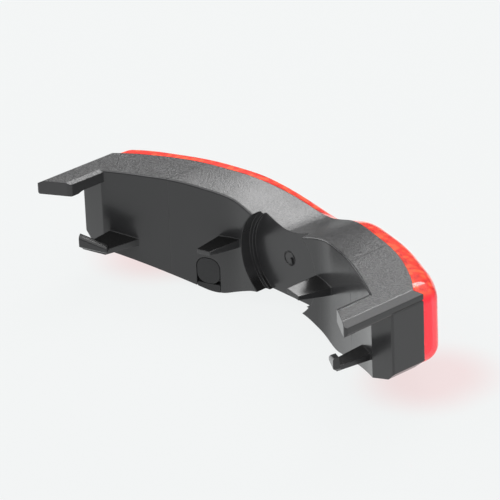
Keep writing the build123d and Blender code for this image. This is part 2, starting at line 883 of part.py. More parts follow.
ribbon_y = main_front_y + ribbon_thickness / 2
ribbon_top = wing_plane(board_setback - ribbon_thickness / 2)
over_edge = ribbon_top.from_local_coords(Vector(board_length / 2 + ribbon_end_gap, 0, 0))
on_board = ribbon_top.from_local_coords(Vector(board_length / 2 - ribbon_lap, 0, 0))
ribbon_corners = [(ribbon_start_x, ribbon_y), (ribbon_bend_x, ribbon_y)]
ribbon_corners += [(spot.X, spot.Y) for spot in (over_edge, on_board)]
export_pair("flex_ribbon", ribbon(ribbon_corners, ribbon_low_z, ribbon_high_z))

charge_side = socket_width / 2 - ribbon_thickness / 2
charge_end = socket_setback + charge_board_length - charge_ribbon_end_gap
charge_corners = [(ribbon_start_x, ribbon_y), (ribbon_bend_x, ribbon_y)]
for depth in (charge_end, charge_end - charge_ribbon_lap):
    spot = port_plane().from_local_coords(Vector(charge_side, 0, -depth))
    charge_corners.append((spot.X, spot.Y))
charge_ribbon = mirrored(ribbon(charge_corners, charge_ribbon_low_z, charge_ribbon_high_z))
charge_ribbon.label = "charge_ribbon"
export_step(charge_ribbon, "parts/charge_ribbon.step")

# Lens, with a skirt that enters the housing and a collar round the button
skirt_inset = wall + skirt_clearance
lens_half = rounded_lens_half(0)
with BuildPart() as lens:
    add(both_sides(lens_half))
    add(both_sides(rounded_lens_half(lens_wall)), mode=Mode.SUBTRACT)
    with BuildPart(mode=Mode.PRIVATE) as collar:
        with BuildSketch(facing_plane(collar_y)):
            with Locations((0, button_z)):
                Circle(collar_radius)
        extrude(amount=collar_length)
        add(both_sides(lens_half), mode=Mode.INTERSECT)
    add(collar.part)
    add(both_sides(rim_band(0, skirt_depth, skirt_inset, skirt_inset + skirt_wall)))
    with BuildPart(mode=Mode.PRIVATE) as skirt_root:
        add(rim_band(-lens_wall, 0, lens_wall / 2, skirt_inset + skirt_wall))
        add(lens_half, mode=Mode.INTERSECT)
    add(both_sides(skirt_root.part))
    with BuildSketch(facing_plane(collar_y)):
        with Locations((0, button_z)):
            Circle(button_radius + button_clearance)
    extrude(amount=2 * collar_length, mode=Mode.SUBTRACT)
lens.part.label = "lens"
export_step(lens.part, "parts/lens.step")

with BuildPart() as lens_gasket:
    gasket_end = skirt_depth + gasket_depth
    add(both_sides(rim_band(skirt_depth, gasket_end, wall, skirt_inset + skirt_wall)))
lens_gasket.part.label = "lens_gasket"
export_step(lens_gasket.part, "parts/lens_gasket.step")

# Wing boards with their lights and reflectors
post_spots = [(-post_at, board_middle_z), (post_at, board_middle_z)]
with BuildPart() as led_board:
    with BuildSketch(wing_plane(board_back)):
        with Locations((0, board_middle_z)):
            Rectangle(board_length, board_high_z - board_low_z)
        with Locations(*post_spots):
            Circle(screw_radius + screw_clearance, mode=Mode.SUBTRACT)
    extrude(amount=board_thickness)
export_pair("led_board", led_board.part)

with BuildPart() as leds:
    with BuildSketch(wing_plane(board_setback)):
        with Locations((0, board_middle_z)):
            with GridLocations(bowl_pitch, 0, bowl_count, 1):
                Rectangle(led_size, led_size)
    extrude(amount=led_height)
export_pair("leds", leds.part)

with BuildPart() as led_domes:
    with Locations(wing_plane(board_setback - led_height)):
        with Locations((0, board_middle_z, 0)):
            with GridLocations(bowl_pitch, 0, bowl_count, 1):
                Sphere(radius=dome_radius, arc_size1=0, align=(Align.CENTER, Align.CENTER, Align.MIN))
export_pair("led_domes", led_domes.part)

block_length = (bowl_count - 1) * bowl_pitch + 2 * (bowl_radius + bowl_rim)
with BuildPart() as reflector:
    with BuildSketch(wing_plane(board_setback)):
        with Locations((0, board_middle_z)):
            Rectangle(2 * ear_reach, ear_height)
        with Locations(*post_spots):
            Circle(screw_radius + screw_clearance, mode=Mode.SUBTRACT)
    extrude(amount=ear_thickness)
    with BuildSketch(wing_plane(board_setback)):
        with Locations((0, board_middle_z)):
            Rectangle(block_length, 2 * reflector_half_height)
    extrude(amount=bowl_depth)
    with Locations(wing_plane(board_setback - bowl_depth / 2)):
        with Locations((0, board_middle_z, 0)):
            with GridLocations(bowl_pitch, 0, bowl_count, 1):
                Cone(bowl_floor_radius, bowl_radius, bowl_depth, mode=Mode.SUBTRACT)
export_pair("reflector", reflector.part)

with BuildPart() as reflector_screws:
    with BuildSketch(wing_plane(board_setback - ear_thickness)):
        with Locations(*post_spots):
            Circle(screw_head_radius)
    extrude(amount=screw_head_height)
    with BuildSketch(wing_plane(board_setback - ear_thickness)):
        with Locations(*post_spots):
            Circle(screw_radius)
    extrude(amount=-screw_length)
export_pair("reflector_screws", reflector_screws.part)

# Battery in the right wing, on its pad, with its tabs and leads
with BuildPart() as battery_cell:
    with BuildSketch(wing_plane(cell_back)):
        with Locations((0, cell_middle_z)):
            Rectangle(cell_length, cell_height)
    extrude(amount=cell_thickness)
    fillet(battery_cell.edges().filter_by(Axis.Z), radius=cell_thickness / 4)
battery_cell.part.label = "battery_cell"
export_step(battery_cell.part, "parts/battery_cell.step")

with BuildPart() as battery_pad:
    with BuildSketch(wing_plane(cell_back + pad_thickness)):
        with Locations((0, cell_middle_z)):
            Rectangle(cell_length - 2 * pad_margin, cell_height - 2 * pad_margin)
    extrude(amount=pad_thickness)
battery_pad.part.label = "battery_pad"
export_step(battery_pad.part, "parts/battery_pad.step")

tab_setback = cell_front + cell_thickness / 2
tab_spots = [(cell_length / 2, cell_middle_z + rise) for rise in (tab_rise, -tab_rise)]
with BuildPart() as battery_tabs:
    with BuildSketch(wing_plane(tab_setback + tab_thickness / 2)):
        with Locations(*[(u + tab_length / 2, z) for u, z in tab_spots]):
            Rectangle(tab_length, tab_height)
    extrude(amount=tab_thickness)
battery_tabs.part.label = "battery_tabs"
export_step(battery_tabs.part, "parts/battery_tabs.step")

with BuildPart() as battery_leads:
    for (u, z), end_z in zip(tab_spots, lead_end_z):
        start = wing_plane(tab_setback).from_local_coords(Vector(u + tab_length + seal_clearance, z, 0))
        stop = Vector(lead_end_x, main_board_y - lead_radius, end_z)
        spots = [start]
        for x, y in lead_path:
            share = (start.X - x) / (start.X - stop.X)
            spots.append(Vector(x, y, start.Z + (stop.Z - start.Z) * share))
        spots.append(stop)
        with BuildLine() as lead_line:
            FilletPolyline(*spots, radius=lead_bend)
        with BuildSketch(Plane(origin=start, z_dir=spots[1] - start)):
            Circle(lead_radius)
        sweep(path=lead_line.line)
battery_leads.part.label = "battery_leads"
export_step(battery_leads.part, "parts/battery_leads.step")

# Control board with its chip, switch and charge light
with BuildPart() as main_board:
    with BuildSketch(facing_plane(main_board_y)):
        with Locations((0, (main_board_low_z + main_board_high_z) / 2)):
            Rectangle(2 * main_board_half_width, main_board_high_z - main_board_low_z)
        with Locations((-main_post_x, main_post_z), (main_post_x, main_post_z)):
            Circle(screw_radius + screw_clearance, mode=Mode.SUBTRACT)
    extrude(amount=main_board_thickness)
main_board.part.label = "main_board"
export_step(main_board.part, "parts/main_board.step")

with BuildPart() as main_screws:
    with BuildSketch(facing_plane(main_front_y)):
        with Locations((-main_post_x, main_post_z), (main_post_x, main_post_z)):
            Circle(screw_head_radius)
    extrude(amount=screw_head_height)
    with BuildSketch(facing_plane(main_front_y)):
        with Locations((-main_post_x, main_post_z), (main_post_x, main_post_z)):
            Circle(screw_radius)
    extrude(amount=-main_screw_length)
main_screws.part.label = "main_screws"
export_step(main_screws.part, "parts/main_screws.step")

with BuildPart() as charge_chip:
    with BuildSketch(facing_plane(main_front_y)):
        with Locations((-chip_spot[0], chip_spot[1])):
            Rectangle(chip_size, chip_size)
    extrude(amount=chip_height)
charge_chip.part.label = "charge_chip"
export_step(charge_chip.part, "parts/charge_chip.step")

with BuildPart() as board_components:
    with BuildSketch(facing_plane(main_front_y)):
        for spot, count in ((upper_group_spot, upper_group_count), (lower_group_spot, lower_group_count)):
            with Locations(spot):
                with GridLocations(component_pitch_across, component_pitch_up, count, component_rows):
                    Rectangle(component_length, component_width)
    extrude(amount=component_height)
    with BuildSketch(facing_plane(main_front_y)):
        with Locations(coil_spot):
            RectangleRounded(coil_size, coil_size, coil_corner)
    extrude(amount=coil_height)
board_components.part.label = "board_components"
export_step(board_components.part, "parts/board_components.step")

with BuildPart() as switch_body:
    with BuildSketch(facing_plane(main_front_y)):
        with Locations((0, button_z)):
            Rectangle(switch_size, switch_size)
    extrude(amount=switch_height)
    with BuildSketch(facing_plane(main_front_y + switch_height)):
        with Locations((0, button_z)):
            Circle(plunger_radius + button_clearance)
    extrude(amount=-(plunger_sunk + button_travel + plunger_gap), mode=Mode.SUBTRACT)
switch_body.part.label = "switch_body"
export_step(switch_body.part, "parts/switch_body.step")

plunger_y = main_front_y + switch_height - plunger_sunk
with BuildPart() as switch_plunger:
    with BuildSketch(facing_plane(plunger_y)):
        with Locations((0, button_z)):
            Circle(plunger_radius)
    extrude(amount=plunger_height)
switch_plunger.part.label = "switch_plunger"
export_step(switch_plunger.part, "parts/switch_plunger.step")

with BuildPart() as status_led:
    with BuildSketch(facing_plane(main_front_y)):
        with Locations((-pipe_x, button_z)):
            Rectangle(status_led_width, status_led_width / 2)
    extrude(amount=status_led_height)
status_led.part.label = "status_led"
export_step(status_led.part, "parts/status_led.step")

with BuildPart() as light_pipe:
    with BuildSketch(facing_plane(main_front_y)):
        with Locations((-pipe_x, button_z)):
            Circle(pipe_foot_radius)
    extrude(amount=pipe_foot_height)
    with BuildSketch(facing_plane(main_front_y)):
        with Locations((-pipe_x, button_z)):
            Circle(pipe_foot_bore)
    extrude(amount=pipe_foot_height / 2, mode=Mode.SUBTRACT)
    with BuildSketch(facing_plane(main_front_y + pipe_foot_height)):
        with Locations((-pipe_x, button_z)):
            Circle(pipe_radius)
    extrude(amount=pipe_end_y - main_front_y - pipe_foot_height)
light_pipe.part.label = "light_pipe"
export_step(light_pipe.part, "parts/light_pipe.step")

# Button with its flange and stem, and the seal round it
flange_front = collar_y - seal_thickness - seal_clearance
flange_back = flange_front - button_flange_thickness
with BuildPart() as power_button:
    with BuildSketch(facing_plane(flange_front)):
        with Locations((0, button_z)):
            Circle(button_radius)
    extrude(amount=crown_y + button_proud - flange_front)
    fillet(power_button.edges().group_by(Axis.Y)[-1], radius=button_edge_radius)
    with BuildSketch(facing_plane(flange_back)):
        with Locations((0, button_z)):
            Circle(button_flange_radius)
    extrude(amount=button_flange_thickness)
    with BuildSketch(facing_plane(plunger_y + plunger_height + plunger_gap)):
        with Locations((0, button_z)):
            Circle(button_stem_radius)
    extrude(until=Until.NEXT)
power_button.part.label = "power_button"
export_step(power_button.part, "parts/power_button.step")

with BuildPart() as button_seal:
    with BuildSketch(facing_plane(collar_y - seal_thickness)):
        with Locations((0, button_z)):
            Circle(seal_radius)
            Circle(button_radius + button_clearance, mode=Mode.SUBTRACT)
    extrude(amount=seal_thickness)
button_seal.part.label = "button_seal"
export_step(button_seal.part, "parts/button_seal.step")
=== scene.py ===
# %% [markdown]
# # A helmet light, dressed for its portrait
# The light clips to the fit dial at the back of a cycling helmet. Its solids come ready from the CAD
# model: a dark moulded shell, a clear red lens and the pieces inside. This lesson adds what the solids
# lack: the grain of the moulding, the red of the lens, the pillows inside it, the stub that the mould's
# gate leaves in the recess, the studio and the camera.

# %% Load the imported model
import bpy
import bmesh
import math
from mathutils import Matrix, Vector
from mathutils.bvhtree import BVHTree


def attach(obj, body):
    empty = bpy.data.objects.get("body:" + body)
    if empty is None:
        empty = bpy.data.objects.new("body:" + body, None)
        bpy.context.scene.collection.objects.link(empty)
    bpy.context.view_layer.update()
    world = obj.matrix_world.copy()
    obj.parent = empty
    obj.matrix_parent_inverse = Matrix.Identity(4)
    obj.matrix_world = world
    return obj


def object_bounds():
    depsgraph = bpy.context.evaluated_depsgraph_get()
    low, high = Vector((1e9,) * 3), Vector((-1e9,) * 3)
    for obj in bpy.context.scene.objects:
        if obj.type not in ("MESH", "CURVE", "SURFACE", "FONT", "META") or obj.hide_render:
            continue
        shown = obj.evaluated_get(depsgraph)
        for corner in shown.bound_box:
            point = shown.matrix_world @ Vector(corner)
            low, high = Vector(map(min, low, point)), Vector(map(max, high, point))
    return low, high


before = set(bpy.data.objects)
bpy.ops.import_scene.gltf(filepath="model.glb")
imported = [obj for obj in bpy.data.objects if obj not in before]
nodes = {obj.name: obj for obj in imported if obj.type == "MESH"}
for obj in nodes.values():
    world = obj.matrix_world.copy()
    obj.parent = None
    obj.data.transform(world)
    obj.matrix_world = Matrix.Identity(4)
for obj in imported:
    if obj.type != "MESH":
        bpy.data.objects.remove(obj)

cad_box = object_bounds()
scene = bpy.context.scene
print("nodes:", len(nodes), "box:", cad_box)

# %% [markdown]
# Every finish below is a small network of nodes. A few helpers keep the cells short. They start a
# material, add a node, make a pattern, map or combine values, blend two colours, raise a fine relief
# and give the finish to the pieces of the CAD model.

# %% Helpers for materials
MM = 0.001


def new_finish(name, **values):
    """A fresh material with its node tree and its shader, with values for the shader's sockets."""
    material = bpy.data.materials.new(name)
    material.use_nodes = True
    tree = material.node_tree
    shader = tree.nodes["Principled BSDF"]
    set_values(shader, values)
    return material, tree, shader


def set_values(node, values):
    """Set input sockets by name, with underscores for the spaces in a name."""
    for name, value in values.items():
        node.inputs[name.replace("_", " ")].default_value = value


def add_node(tree, kind, **values):
    """A new node of a kind, with values for its input sockets."""
    node = tree.nodes.new(kind)
    set_values(node, values)
    return node


def object_place(tree):
    """Places on the piece, in metres from the object's origin."""
    return tree.nodes.new("ShaderNodeTexCoord").outputs["Object"]


def place_and_facing(tree):
    """Places on the piece, and the three parts of the direction that the surface faces."""
    coordinates = tree.nodes.new("ShaderNodeTexCoord")
    return coordinates.outputs["Object"], split(tree, coordinates.outputs["Normal"])


def split(tree, vector):
    """The X, Y and Z of a vector."""
    node = tree.nodes.new("ShaderNodeSeparateXYZ")
    tree.links.new(vector, node.inputs["Vector"])
    return node.outputs


def noise(tree, scale, detail=2.0, roughness=0.5, place=None):
    """A soft random pattern at a scale per metre."""
    node = add_node(tree, "ShaderNodeTexNoise", Scale=scale, Detail=detail, Roughness=roughness)
    tree.links.new(place or object_place(tree), node.inputs["Vector"])
    return node.outputs["Fac"]


def between(tree, value, low, high, to_low=0.0, to_high=1.0):
    """A value mapped smoothly from one range to another."""
    node = add_node(tree, "ShaderNodeMapRange")
    node.interpolation_type = "SMOOTHSTEP"
    for socket, number in zip(("From Min", "From Max", "To Min", "To Max"), (low, high, to_low, to_high)):
        node.inputs[socket].default_value = number
    tree.links.new(value, node.inputs["Value"])
    return node.outputs["Result"]


def calculate(tree, operation, a, b=0.0):
    """One step of arithmetic on values or numbers."""
    node = tree.nodes.new("ShaderNodeMath")
    node.operation = operation
    for socket, value in zip(node.inputs, (a, b)):
        if isinstance(value, (int, float)):
            socket.default_value = value
        else:
            tree.links.new(value, socket)
    return node.outputs[0]


def measure(tree, operation, vector, other=None):
    """One step of arithmetic on a vector. The socket that holds the answer depends on the step."""
    node = tree.nodes.new("ShaderNodeVectorMath")
    node.operation = operation
    tree.links.new(vector, node.inputs[0])
    if other:
        node.inputs[1].default_value = other
    return node.outputs["Vector" if operation == "ABSOLUTE" else "Value"]


def blend_colours(tree, share, first, second):
    """Two colours, or sockets that carry colours, mixed by a share from 0 to 1."""
    node = tree.nodes.new("ShaderNodeMix")
    node.data_type = "RGBA"
    for socket, colour in ((node.inputs["A"], first), (node.inputs["B"], second)):
        if isinstance(colour, tuple):
            socket.default_value = (*colour, 1.0)
        else:
            tree.links.new(colour, socket)
    tree.links.new(share, node.inputs["Factor"])
    return node.outputs["Result"]


def raise_surface(tree, shader, height, distance, strength=1.0, round_edges=0.0):
    """Fine relief from a height, in metres of depth, on edges that catch the light as if rounded."""
    node = add_node(tree, "ShaderNodeBump", Strength=strength, Distance=distance)
    tree.links.new(height, node.inputs["Height"])
    if round_edges:
        rounded = add_node(tree, "ShaderNodeBevel", Radius=round_edges)
        rounded.samples = 6
        tree.links.new(rounded.outputs["Normal"], node.inputs["Normal"])
    tree.links.new(node.outputs["Normal"], shader.inputs["Normal"])


def set_finish(material, *names):
    """Give CAD nodes a finish."""
    for name in names:
        nodes[name].data.materials.clear()
        nodes[name].data.materials.append(material)
    print(material.name, "on", ", ".join(names))


# %% [markdown]
# The shell is one dark moulding. Its top has the fine grain of a spark-eroded mould, which scatters
# light and looks lighter. The grain weakens towards the waist. The side that faces the head is smoother
# satin, a little lighter at the ends, and the low ledges of tabs and hooks are darker. One material
# does it all: the way that the surface faces and its place on the shell tell these parts apart. A thin
# line across each wing stands for the seam of the mould. It is relief in the material, because it is
# too shallow to be worth a groove.

# %% Moulded plastic of the shell
grain_scale, grain_relief = 1950.0, 0.19 * MM
grain_fades_from, grain_fades_to = 42.0 * MM, 15.0 * MM
seam_at, seam_half_width = 39.0 * MM, 0.25 * MM
top_starts, top_full = 5.0 * MM, 6.0 * MM
end_starts, end_full = 57.5 * MM, 58.5 * MM
edge_radius = 0.4 * MM

shell_finish, tree, shader = new_finish("shell_plastic")
place, facing = place_and_facing(tree)
spot = split(tree, place)
out = calculate(tree, "ABSOLUTE", spot["X"])
upward = between(tree, facing["Z"], 0.86, 0.93)
high_up = between(tree, spot["Z"], top_starts, top_full)
grained = calculate(tree, "MULTIPLY", upward, high_up)
ledge = calculate(tree, "SUBTRACT", between(tree, facing["Z"], 0.5, 0.7), grained)
low_ledge = calculate(tree, "MULTIPLY", ledge, calculate(tree, "SUBTRACT", 1.0, high_up))

grain = noise(tree, grain_scale, 2.0, 0.7, place)
grain_share = between(tree, out, grain_fades_to, grain_fades_from, 0.5, 1.0)
grain_height = calculate(tree, "MULTIPLY", calculate(tree, "MULTIPLY", grain, grain_share), grained)
from_seam = calculate(tree, "ABSOLUTE", calculate(tree, "SUBTRACT", out, seam_at))
seam_depth = between(tree, from_seam, 0.0, seam_half_width, -0.8, 0.0)
seam_share = between(tree, facing["Z"], 0.2, 0.8, 0.3, 1.0)
seam_line = calculate(tree, "MULTIPLY", seam_depth, seam_share)
height = calculate(tree, "ADD", grain_height, seam_line)
raise_surface(tree, shader, height, grain_relief, round_edges=edge_radius)

centred = calculate(tree, "SUBTRACT", between(tree, grain, 0.38, 0.62), 0.5)
speckle = calculate(tree, "ADD", calculate(tree, "MULTIPLY", centred, grain_share), 0.5)
tops = blend_colours(tree, speckle, (0.001, 0.001, 0.001), (0.056, 0.056, 0.057))
near_end = between(tree, out, end_starts, end_full)
sides = blend_colours(tree, near_end, (0.028, 0.028, 0.029), (0.036, 0.036, 0.037))
tops_and_sides = blend_colours(tree, grained, sides, tops)
colour = blend_colours(tree, low_ledge, tops_and_sides, (0.004, 0.004, 0.004))
tree.links.new(colour, shader.inputs["Base Color"])

satin = between(tree, noise(tree, 90.0, 3.0, 0.55, place), 0.3, 0.7, 0.20, 0.25)
roughness = calculate(tree, "ADD", satin, calculate(tree, "MULTIPLY", grained, 0.13))
tree.links.new(roughness, shader.inputs["Roughness"])
set_finish(shell_finish, "rear_housing")

# %% [markdown]
# The port cover and its anchor are one soft rubber flap. The power button and both seals are rubber
# too. Rubber is darker and duller than the shell, with a very fine, even bloom on it.

# %% Rubber of the flap, button and seals
rubber_finish, tree, shader = new_finish("soft_rubber", Roughness=0.52, Sheen_Weight=0.08)
place = object_place(tree)
raise_surface(tree, shader, noise(tree, 1800.0, 2.0, 0.5, place), 0.03 * MM)
patches = noise(tree, 120.0, 2.0, 0.5, place)
colour = blend_colours(tree, patches, (0.006, 0.006, 0.007), (0.011, 0.011, 0.012))
tree.links.new(colour, shader.inputs["Base Color"])
set_finish(rubber_finish, "port_cover", "cover_anchor", "power_button", "button_seal", "lens_gasket")

# %% [markdown]
# The lens is clear red plastic with a wall of 1.6 mm. Light is tinted on its way in and on its way out,
# so the pieces behind it look red. In the photo the ends are bright pink and the top edge sparkles
# orange. Here a glow of the material stands in for the light that scatters in a real lens: pink on the
# end walls, orange cells along the top wall, and next to nothing on the front, where it would hide the
# pieces inside.

# %% Clear red of the lens
cell_scale = 430.0
end_glow, front_glow, cell_glow = 0.30, 0.02, 0.30

lens_finish, tree, shader = new_finish("clear_red", Transmission_Weight=0.72, IOR=1.35)
place, facing = place_and_facing(tree)
flow = noise(tree, 55.0, 2.0, 0.5, place)
tree.links.new(between(tree, flow, 0.35, 0.65, 0.03, 0.08), shader.inputs["Roughness"])
raise_surface(tree, shader, flow, 0.3 * MM, 0.3)
end_wall = between(tree, calculate(tree, "ABSOLUTE", facing["X"]), 0.55, 0.98)
top_wall = between(tree, facing["Z"], 0.35, 0.75)

cells = add_node(tree, "ShaderNodeTexVoronoi", Scale=cell_scale, Randomness=0.8)
cells.feature = "SMOOTH_F1"
tree.links.new(place, cells.inputs["Vector"])
sparkle = between(tree, cells.outputs["Distance"], 0.25, 0.55, 1.0, 0.0)
warm = calculate(tree, "MULTIPLY", sparkle, top_wall)

# The base colour is painted a little pinker on the end walls too: painted light that goes with their glow.
body = blend_colours(tree, end_wall, (1.0, 0.10, 0.08), (1.0, 0.10, 0.14))
tree.links.new(body, shader.inputs["Base Color"])
deep = blend_colours(tree, end_wall, (1.0, 0.005, 0.01), (1.0, 0.05, 0.07))
tree.links.new(blend_colours(tree, warm, deep, (1.0, 0.26, 0.06)), shader.inputs["Emission Color"])
at_end = between(tree, end_wall, 0.0, 1.0, front_glow, end_glow)
glow = calculate(tree, "ADD", at_end, calculate(tree, "MULTIPLY", warm, cell_glow))
tree.links.new(glow, shader.inputs["Emission Strength"])
set_finish(lens_finish, "lens")

# %% [markdown]
# Inside, the front of such a lens is covered in small pillows that spread the beam. They are moulded
# bumps, so they are real shapes here: low domes on a grid. Parallel rays start inside each wing, and
# where one meets the wall of the lens squarely enough, a dome stands. A flat foot can't follow a curved
# wall, and 116 of the 456 domes cross it. That fault is left.

# %% Pillows inside the lens
pillow_pitch = 2.1 * MM
pillow_radius = 1.0 * MM
pillow_height = 0.35 * MM
pillow_gap = 0.03 * MM
row_spacing = 0.87  # of the pitch, so that shifted rows keep their distance
rows, columns = range(-5, 6), range(-9, 12)
nearest_wall, farthest_wall = 3.0 * MM, 9.0 * MM
squareness = 0.8  # least cosine of the angle between a ray and the normal of the wall
wing_lean = math.radians(22.5)
wing_middle = Vector((40.0, 2.1, 3.0)) * MM


def lens_walls():
    """The surface of the lens, for finding where rays meet it."""
    mesh = nodes["lens"].data
    corners = [nodes["lens"].matrix_world @ vertex.co for vertex in mesh.vertices]
    return BVHTree.FromPolygons(corners, [list(face.vertices) for face in mesh.polygons])


def dome_mesh():
    """One low dome with a flat foot, at the origin, crown up."""
    board = bmesh.new()
    bmesh.ops.create_uvsphere(board, u_segments=12, v_segments=8, radius=pillow_radius)
    foot = bmesh.ops.bisect_plane(
        board, geom=board.verts[:] + board.edges[:] + board.faces[:],
        plane_co=(0, 0, 0), plane_no=(0, 0, -1), clear_outer=True,
    )["geom_cut"]
    bmesh.ops.edgeloop_fill(board, edges=[part for part in foot if isinstance(part, bmesh.types.BMEdge)])
    bmesh.ops.scale(board, verts=board.verts, vec=(1.0, 1.0, pillow_height / pillow_radius))
    mesh = bpy.data.meshes.new("one_dome")
    board.to_mesh(mesh)
    board.free()
    return mesh


def add_piece(board, name, finish):
    """A new piece from a bmesh, at rest on the root."""
    bmesh.ops.recalc_face_normals(board, faces=board.faces)
    mesh = bpy.data.meshes.new(name)
    board.to_mesh(mesh)
    board.free()
    for face in mesh.polygons:
        face.use_smooth = True
    mesh.materials.append(finish)
    piece = bpy.data.objects.new(name, mesh)
    scene.collection.objects.link(piece)
    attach(piece, "root")
    print(name, "has", len(mesh.polygons), "faces")


def stand_on_wall(board, mesh, spot, up):
    """A copy of a mesh on a spot, with its top towards up."""
    stand = Matrix.Translation(spot) @ up.to_track_quat("Z", "Y").to_matrix().to_4x4()
    board.from_mesh(mesh)
    board.verts.ensure_lookup_table()
    bmesh.ops.transform(board, matrix=stand, verts=board.verts[-len(mesh.vertices):])


walls = lens_walls()
one_dome = dome_mesh()
pillow_board = bmesh.new()
for side in (1, -1):
    ahead = Vector((side * math.sin(wing_lean), math.cos(wing_lean), 0.0))
    along = Vector((side * math.cos(wing_lean), -math.sin(wing_lean), 0.0))
    for row in rows:
        for column in columns:
            start = Vector((side * wing_middle.x, wing_middle.y, wing_middle.z))
            across = along * (column + 0.5 * (row % 2)) * pillow_pitch
            start += across + Vector((0, 0, 1)) * row * pillow_pitch * row_spacing
            hit, normal, _, reach = walls.ray_cast(start, ahead)
            if hit is None or reach < nearest_wall or reach > farthest_wall:
                continue
            if abs(normal.dot(ahead)) < squareness:
                continue
            inward = normal if normal.dot(ahead) < 0 else -normal
            stand_on_wall(pillow_board, one_dome, hit + inward * pillow_gap, inward)

pillow_finish, tree, shader = new_finish("amber_pillows", Transmission_Weight=0.6, IOR=1.49, Roughness=0.08)
colour = blend_colours(tree, noise(tree, 260.0), (1.0, 0.42, 0.10), (1.0, 0.20, 0.08))
tree.links.new(colour, shader.inputs["Base Color"])
add_piece(pillow_board, "lens_pillows", pillow_finish)

# %% [markdown]
# The shell was filled through a gate in the middle of the round recess, where the CAD model has a ring
# groove. The torn stub of the gate is added here: a small leaning teardrop, about half a millimetre
# high, drawn out from an oval foot. The foot stands a tenth of a millimetre off the floor, and its lower
# end reaches over the groove.

# %% Stub of the gate in the recess
foot_radius = 0.75 * MM
foot_stretch = (1.0, 1.7, 1.0)
crown_taper = (0.40, 0.45, 1.0)
crown_shift = Vector((0.15, 0.45, 0.55)) * MM
crown_bevel = 0.1 * MM
stub_spot = Vector((0.9, -0.10, -0.7)) * MM

stub_board = bmesh.new()
foot = bmesh.ops.create_circle(stub_board, cap_ends=True, segments=14, radius=foot_radius)["verts"]
bmesh.ops.scale(stub_board, verts=foot, vec=foot_stretch)
raised = bmesh.ops.extrude_face_region(stub_board, geom=list(stub_board.faces), use_keep_orig=True)["geom"]
crown = [part for part in raised if isinstance(part, bmesh.types.BMVert)]
bmesh.ops.scale(stub_board, verts=crown, vec=crown_taper)
bmesh.ops.translate(stub_board, verts=crown, vec=crown_shift)
rim = [edge for edge in stub_board.edges if all(vertex in crown for vertex in edge.verts)]
bmesh.ops.bevel(
    stub_board, geom=rim, offset=crown_bevel, offset_type="OFFSET", segments=3, profile=0.5,
    affect="EDGES", material=-1,
)
stand = Matrix.Translation(stub_spot) @ Matrix.Rotation(math.pi / 2, 4, "X")
bmesh.ops.transform(stub_board, matrix=stand, verts=stub_board.verts)
add_piece(stub_board, "gate_stub", shell_finish)

# %% [markdown]
# Behind the lens sit metallised bowls that throw the light forward. A thin layer of bright metal on
# moulded plastic is never quite flat, so it has a faint ripple.

# %% Bright metal of the reflectors
mirror_finish, tree, shader = new_finish("metallised_bowl", Metallic=1.0, Roughness=0.12)
ripple = noise(tree, 700.0, 2.0, 0.5)
colour = blend_colours(tree, ripple, (0.80, 0.80, 0.82), (0.93, 0.93, 0.95))
tree.links.new(colour, shader.inputs["Base Color"])
raise_surface(tree, shader, ripple, 0.06 * MM)
set_finish(mirror_finish, "reflector_right", "reflector_left")

# %% [markdown]
# Boards, chips, screws, ribbons, battery and socket are hidden, or seen through the red lens or past the
# open flap. Each gets the finish that its maker would give it. These finishes differ in a few numbers
# only, so one helper makes them all.

# %% Boards, chips and wires
def plain_finish(name, dark, light, scale, roughness, relief=0.02 * MM, metallic=0.0):
    """A finish whose colour and relief follow one soft pattern."""
    material, tree, shader = new_finish(name, Roughness=roughness, Metallic=metallic)
    pattern = noise(tree, scale, 3.0, 0.55, object_place(tree))
    colour = blend_colours(tree, between(tree, pattern, 0.3, 0.7), dark, light)
    tree.links.new(colour, shader.inputs["Base Color"])
    raise_surface(tree, shader, pattern, relief)
    return material


white_mask = plain_finish("white_mask", (0.74, 0.75, 0.72), (0.84, 0.85, 0.82), 700.0, 0.35)
set_finish(white_mask, "led_board_right", "led_board_left")
green_mask = plain_finish("green_mask", (0.015, 0.13, 0.05), (0.03, 0.20, 0.08), 500.0, 0.32)
set_finish(green_mask, "main_board", "charge_board")
diode_package = plain_finish("diode_package", (0.72, 0.60, 0.24), (0.86, 0.76, 0.38), 900.0, 0.4)
set_finish(diode_package, "leds_right", "leds_left", "status_led")
steel = plain_finish("screw_steel", (0.42, 0.42, 0.44), (0.62, 0.62, 0.64), 1500.0, 0.28, metallic=1.0)
set_finish(steel, "main_screws", "reflector_screws_right", "reflector_screws_left")
set_finish(steel, "switch_body", "usb_socket_shell")
nickel = plain_finish("tab_nickel", (0.55, 0.54, 0.50), (0.70, 0.69, 0.65), 1500.0, 0.3, metallic=1.0)
set_finish(nickel, "battery_tabs")
chip_epoxy = plain_finish("chip_epoxy", (0.012, 0.012, 0.013), (0.03, 0.03, 0.032), 2500.0, 0.45)
set_finish(chip_epoxy, "charge_chip", "switch_plunger", "usb_socket_tongue")
ceramic = plain_finish("ceramic", (0.20, 0.14, 0.09), (0.42, 0.34, 0.26), 1200.0, 0.4)
set_finish(ceramic, "board_components")
amber_film = plain_finish("amber_film", (0.34, 0.12, 0.02), (0.48, 0.19, 0.03), 400.0, 0.3)
set_finish(amber_film, "flex_ribbon_right", "flex_ribbon_left", "charge_ribbon")
foil = plain_finish("pouch_foil", (0.50, 0.51, 0.52), (0.66, 0.67, 0.68), 350.0, 0.33, 0.08 * MM, 0.9)
set_finish(foil, "battery_cell")
foam = plain_finish("grey_foam", (0.16, 0.16, 0.17), (0.30, 0.30, 0.31), 1400.0, 0.9, 0.1 * MM)
set_finish(foam, "battery_pad")
red_wire = plain_finish("red_wire", (0.36, 0.01, 0.01), (0.50, 0.02, 0.02), 600.0, 0.45)
set_finish(red_wire, "battery_leads")

# %% [markdown]
# The domes over the diodes are clear silicone, and the light pipe is clear acrylic. One finish does
# both: fully see-through, slightly warm, and a little uneven in gloss.

